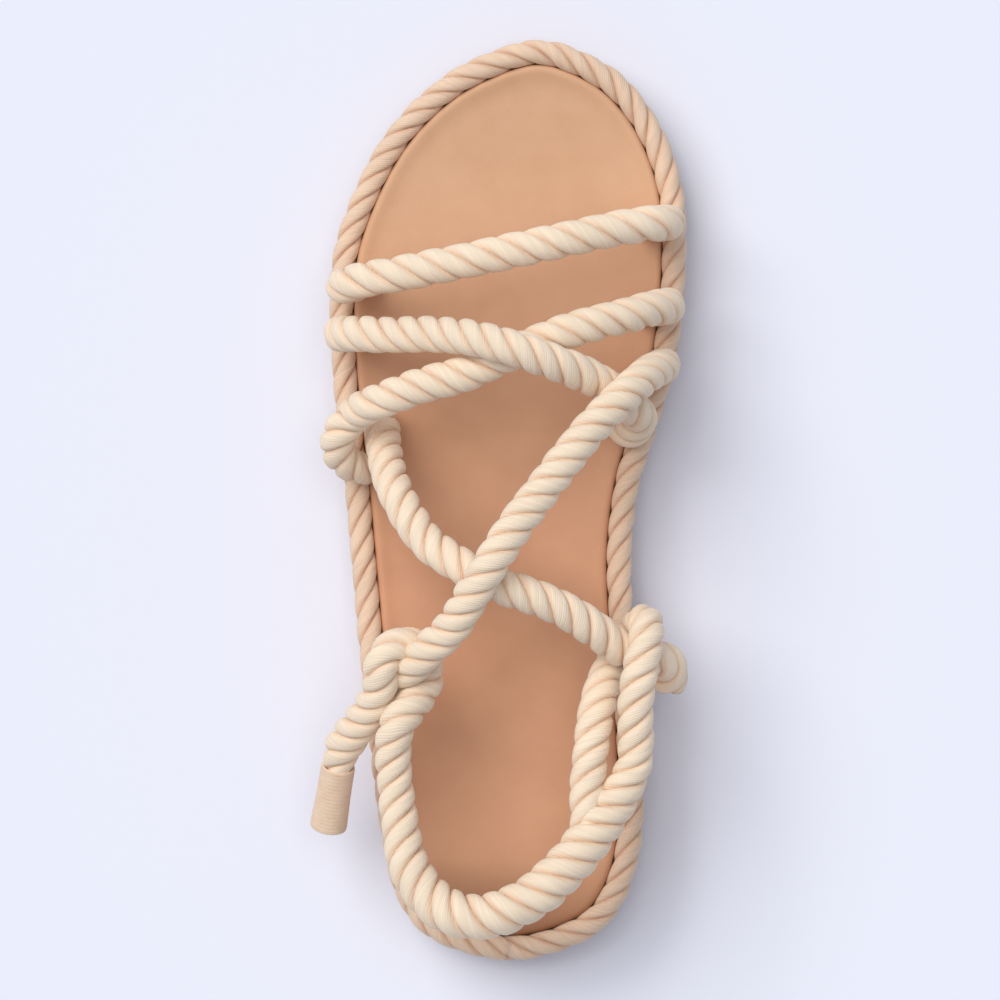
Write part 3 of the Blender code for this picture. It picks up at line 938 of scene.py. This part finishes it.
def sole_blank(name, inset, thickness):
    """Flat closed blank with the sole's outline, left in edit mode with its top face selected."""
    ring = sole_ring(inset)
    deselect()
    bpy.ops.mesh.primitive_circle_add(vertices=len(ring), radius=BLANK_RADIUS, fill_type="NGON")
    blank = bpy.context.object
    blank.name = blank.data.name = name
    for vertex, (x, y) in zip(blank.data.vertices, ring):
        vertex.co = (x * MM, y * MM, 0)
    bpy.ops.object.mode_set(mode="EDIT")
    bpy.ops.mesh.select_all(action="SELECT")
    bpy.ops.mesh.extrude_region_move(TRANSFORM_OT_translate={"value": (0, 0, thickness * MM)})
    bpy.ops.mesh.select_all(action="SELECT")
    bpy.ops.mesh.normals_make_consistent(inside=False)
    pick_faces(blank, lambda face: face.normal.z > FLAT)
    return blank


print("corners of a blank:", len(sole_ring(TRIM)))

# %% Cutting a blank across
CUT_STEP = 6.0
LONG_STRIP = 8.0


def cut_across(piece):
    """Cuts the large flat faces across in even steps, so that they can follow a curve along the shoe."""
    for y in np.arange(HEEL_TIP[1], TOE_TIP[1], CUT_STEP):
        pick_faces(piece, lambda face: abs(face.normal.z) > FLAT
                   and face.calc_area() > CUT_STEP * LONG_STRIP * MM ** 2)
        bpy.ops.mesh.bisect(plane_co=(0, y * MM, 0), plane_no=(0, 1, 0))


print("a blank is cut across every", CUT_STEP, "mm")

# %% Rolled rim
RIM_ROLL = (
    # step inward, step up
    (0.15, 0.45),
    (0.3, 0.45),
    (0.45, 0.3),
    (0.6, 0.1),
    (0.8, -0.12),
    (1.0, -0.28),
    (1.2, -0.26),
    (1.4, -0.16),
    (1.8, -0.08),
)
RIM_DROP = 0.2
RIM_WALL = FOOTBED_THICKNESS - RIM_DROP

footbed = sole_blank("footbed_leather", TRIM, RIM_WALL)
for inward, up in RIM_ROLL:
    bpy.ops.mesh.inset(thickness=inward * MM)
    bpy.ops.transform.translate(value=(0, 0, up * MM))
cut_across(footbed)
bpy.ops.object.mode_set(mode="OBJECT")
for vertex in footbed.data.vertices:
    vertex.co.z += (deck(vertex.co.y / MM) + GAP) * MM
finish_mesh(footbed)
print("the rim's crest stands", round(-sum(up for _, up in RIM_ROLL if up < 0), 2), "mm over the footbed")

# %% [markdown]
# The straps come up through slots close inside the rim. The leather grips the rope, so a slot is cut
# slightly narrower than the rope. A hole could be knifed into the faces one by one, but a Boolean modifier
# cuts all of them in one go: its cutter is an upright cylinder for each strap end, joined into one object.

# %% Slots for the strap ends
GRIP = 0.4
SLOT_POINTS = 32
CUTTER_DEPTH = 5 * FOOTBED_THICKNESS
LEATHER_EDGE = math.radians(50)

cutters = []
for side, y in slots:
    deselect()
    bpy.ops.mesh.primitive_cylinder_add(
        vertices=SLOT_POINTS, radius=(SLOT_ROPE / 2 - GRIP) * MM, depth=CUTTER_DEPTH * MM,
        location=(edge_x(side, y, SLOT_INSET) * MM, y * MM, (deck(y) + FOOTBED_THICKNESS / 2) * MM),
    )
    cutters.append(bpy.context.object)
deselect()
for cutter in cutters:
    cutter.select_set(True)
bpy.context.view_layer.objects.active = cutters[0]
bpy.ops.object.join()
bpy.ops.object.transform_apply(location=True, rotation=True, scale=True)
apply_modifier(footbed, "BOOLEAN", operation="DIFFERENCE", solver="EXACT", object=cutters[0])
bpy.data.objects.remove(cutters[0])
bpy.ops.object.shade_smooth_by_angle(angle=LEATHER_EDGE)
print("slots cut:", len(slots))

# %% [markdown]
# The leather is vegetable tan with a closed, almost matt finish: a fine pebble grain breaks up the gloss, and
# the colour drifts slowly over the hide. Painted shade darkens it from the toes back to the heel,
# and a painted shadow of the heel sling browns the very back.
# The grain is a shallow cell pattern of about its real width. Real pores are about 0.1 mm wide and are drawn
# coarser, so that they show.

# %% Tan leather
# Sizes in mm
GRAIN = 0.9
PORE = 0.35
DRIFT = 45.0
CLOUD = 7.0
GRAIN_RELIEF = 0.08
# How much of the colour's drift is small clouds, and of the relief pores
CLOUD_SHARE = 0.35
PORE_SHARE = 0.4
# Places along the shoe where the painted shade and the painted shadow change, in mm
PAINTED_SHADE_FROM = -20.0
PAINTED_SHADE_TO = 90.0
PAINTED_SHADOW_FROM = -100.0
PAINTED_SHADOW_TO = -117.0


def tan_leather():
    """Smooth tan leather: fine grain, soft satin gloss, painted shade towards the heel, painted shadow at the
    back.
    """
    leather, shader = new_material("smooth_tan_leather")
    place_on = add_node(leather, "TexCoord").outputs["Object"]
    grain = add_node(
        leather, "TexVoronoi", {"Vector": place_on, "Scale": 1 / (GRAIN * MM)}, feature="SMOOTH_F1")
    pore = add_node(leather, "TexNoise", {"Vector": place_on, "Scale": 1 / (PORE * MM), "Detail": 3.0})
    drift = add_node(leather, "TexNoise", {"Vector": place_on, "Scale": 1 / (DRIFT * MM), "Detail": 4.0})
    cloud = add_node(leather, "TexNoise", {"Vector": place_on, "Scale": 1 / (CLOUD * MM), "Detail": 5.0})
    patch = add_node(leather, "MixRGB", {"Fac": CLOUD_SHARE, "Color1": drift, "Color2": cloud})
    share = add_node(leather, "MapRange", {"Value": patch, "From Min": 0.35, "From Max": 0.65})
    # The toe pair is the leather's own colour; the heel pair is the same leather with painted shade.
    toe = add_node(
        leather, "MixRGB", {"Fac": share, "Color1": linear("#d2a27e"), "Color2": linear("#dbad8b")})
    heel = add_node(
        leather, "MixRGB", {"Fac": share, "Color1": linear("#ca9270"), "Color2": linear("#d29b78")})
    split = add_node(leather, "SeparateXYZ", {"Vector": place_on})
    # Painted shade: the darker heel pair holds at the back and gives way to the toe pair towards the toes.
    painted_shade_fade = add_node(leather, "MapRange", {
        "Value": split.outputs["Y"], "From Min": PAINTED_SHADE_FROM * MM, "From Max": PAINTED_SHADE_TO * MM})
    even = add_node(leather, "MixRGB", {"Fac": painted_shade_fade, "Color1": heel, "Color2": toe})
    # Painted shadow: at the very back the colour turns to a dark brown where the heel sling's shadow falls.
    painted_sling_shadow = add_node(leather, "MapRange", {
        "Value": split.outputs["Y"], "From Min": PAINTED_SHADOW_FROM * MM, "From Max": PAINTED_SHADOW_TO * MM})
    colour = add_node(leather, "MixRGB", {"Fac": painted_sling_shadow, "Color1": even, "Color2": linear("#a4704e")})
    gloss = add_node(leather, "MapRange", {"Value": cloud, "To Min": 0.5, "To Max": 0.64})
    height = add_node(
        leather, "Math", {0: pore, 1: PORE_SHARE, 2: grain.outputs["Distance"]}, operation="MULTIPLY_ADD")
    bump = add_node(leather, "Bump", {"Height": height, "Strength": 0.35, "Distance": GRAIN_RELIEF * MM})
    for source, socket in ((colour, "Base Color"), (gloss, "Roughness"), (bump, "Normal")):
        leather.node_tree.links.new(source.outputs[0], shader.inputs[socket])
    shader.inputs["IOR"].default_value = 1.5
    shader.inputs["Specular IOR Level"].default_value = 0.4
    return leather


place(footbed, "footbed", tan_leather())

# %% [markdown]
# ## Outsole
#
# Under the footbed is one slab of moulded rubber, with a shallow groove round its wall. It begins as a blank
# like the footbed's, flat, because bevels and insets come out evenly on a flat slab. Its edges are bevelled,
# and the groove is a band of the wall pushed in.

# %% Slab with a grooved wall
OUTSOLE_INSET = 1.0
SLAB = 10.0
TREAD_ROUND = 1.8
DECK_ROUND = 0.6
GROOVE_BORDER = 3.0
GROOVE_DEPTH = 0.7

outsole = sole_blank("outsole_rubber", OUTSOLE_INSET, SLAB)
bpy.ops.mesh.bevel(offset=DECK_ROUND * MM, segments=3, affect="EDGES")
pick_faces(outsole, lambda face: face.normal.z < -FLAT)
bpy.ops.mesh.bevel(offset=TREAD_ROUND * MM, segments=4, affect="EDGES")
wall_faces = pick_faces(outsole, lambda face: abs(face.normal.z) < 1 - FLAT)
bpy.ops.mesh.inset(thickness=GROOVE_BORDER * MM)
bpy.ops.mesh.extrude_region_shrink_fatten(TRANSFORM_OT_shrink_fatten={"value": -GROOVE_DEPTH * MM})
print("wall faces:", wall_faces)

# %% [markdown]
# The tread is a field of low lozenges inside a plain border. One lozenge could be repeated by an Array, but
# then the field's edge would have to be trimmed. So the underside itself is cut by two sets of slanting
# planes, and each whole lozenge is inset and raised. Last, every height is stretched between the curves of
# the tread and the deck, which gives the slab its arch and its toe spring.

# %% Lozenge tread
TREAD_BORDER = 5.0
TREAD_DEPTH = 1.1
LOZENGE = 8.5
LOZENGE_SLANT = math.radians(58)
LOZENGE_GAP = 0.8
LOZENGE_SLOPE = 0.5
TREAD_REACH = 140.0
WHOLE_SHARE = 0.98
RUBBER_EDGE = math.radians(35)

pick_faces(outsole, lambda face: face.normal.z < -FLAT and len(face.verts) > 4)
bpy.ops.mesh.inset(thickness=TREAD_BORDER * MM)
bpy.ops.mesh.inset(thickness=LOZENGE_SLOPE * MM, depth=-TREAD_DEPTH * MM)


def in_tread(face):
    """Whether a face is on the sunken floor inside the border."""
    height = face.calc_center_median().z / MM
    return face.normal.z < -FLAT and 0.5 * TREAD_DEPTH < height < 2 * TREAD_DEPTH


for slant in (LOZENGE_SLANT, -LOZENGE_SLANT):
    across = Vector((math.cos(slant), math.sin(slant), 0))
    for distance in np.arange(-TREAD_REACH, TREAD_REACH, LOZENGE):
        pick_faces(outsole, in_tread)
        bpy.ops.mesh.bisect(plane_co=across * distance * MM, plane_no=across)
least_area = WHOLE_SHARE * LOZENGE ** 2 / math.sin(2 * LOZENGE_SLANT) * MM ** 2
lozenges = pick_faces(
    outsole, lambda face: in_tread(face) and len(face.verts) == 4 and face.calc_area() > least_area)
bpy.ops.mesh.inset(thickness=LOZENGE_GAP * MM, use_individual=True)
bpy.ops.mesh.inset(thickness=LOZENGE_SLOPE * MM, depth=TREAD_DEPTH * MM, use_individual=True)
cut_across(outsole)
bpy.ops.object.mode_set(mode="OBJECT")
for vertex in outsole.data.vertices:
    y = vertex.co.y / MM
    vertex.co.z = tread(y) * MM + vertex.co.z / SLAB * (deck(y) - tread(y))
finish_mesh(outsole)
bpy.ops.object.shade_smooth_by_angle(angle=RUBBER_EDGE)
print("lozenges in the tread:", lozenges)

# %% [markdown]
# Sole rubber of this kind is left in its natural tan. It comes from the mould with a dull skin: the gloss is
# broken by a fine grit, and fillers show as faint specks. The mould's real grit is about 0.1 mm and is drawn
# coarser, so that it shows.

# %% Natural rubber
# Sizes in mm
GRIT = 0.5
GRIT_RELIEF = 0.08
RUBBER_CLOUD = 18.0
SPECK_SPACING = 1.6


def natural_rubber():
    """Moulded natural rubber: dull, fine grit from the mould, faint specks of filler."""
    rubber, shader = new_material("moulded_natural_rubber")
    place_on = add_node(rubber, "TexCoord").outputs["Object"]
    grit = add_node(rubber, "TexNoise", {"Vector": place_on, "Scale": 1 / (GRIT * MM), "Detail": 3.0})
    cloud = add_node(
        rubber, "TexNoise", {"Vector": place_on, "Scale": 1 / (RUBBER_CLOUD * MM), "Detail": 4.0})
    colour = add_node(
        rubber, "MixRGB", {"Fac": cloud, "Color1": linear("#b98c65"), "Color2": linear("#c99d75")})
    specks = add_node(rubber, "TexVoronoi", {"Vector": place_on, "Scale": 1 / (SPECK_SPACING * MM)})
    speck = add_node(rubber, "MapRange", {
        "Value": specks.outputs["Distance"], "From Min": 0.08, "From Max": 0.16, "To Min": 0.8})
    final = add_node(rubber, "VectorMath", {0: colour, 1: speck}, operation="MULTIPLY")
    rough = add_node(rubber, "MapRange", {"Value": grit, "To Min": 0.6, "To Max": 0.78})
    bump = add_node(rubber, "Bump", {"Height": grit, "Strength": 0.3, "Distance": GRIT_RELIEF * MM})
    for source, socket in ((final, "Base Color"), (rough, "Roughness"), (bump, "Normal")):
        rubber.node_tree.links.new(source.outputs[0], shader.inputs[socket])
    shader.inputs["IOR"].default_value = 1.52
    shader.inputs["Specular IOR Level"].default_value = 0.4
    return rubber


place(outsole, "outsole", natural_rubber())
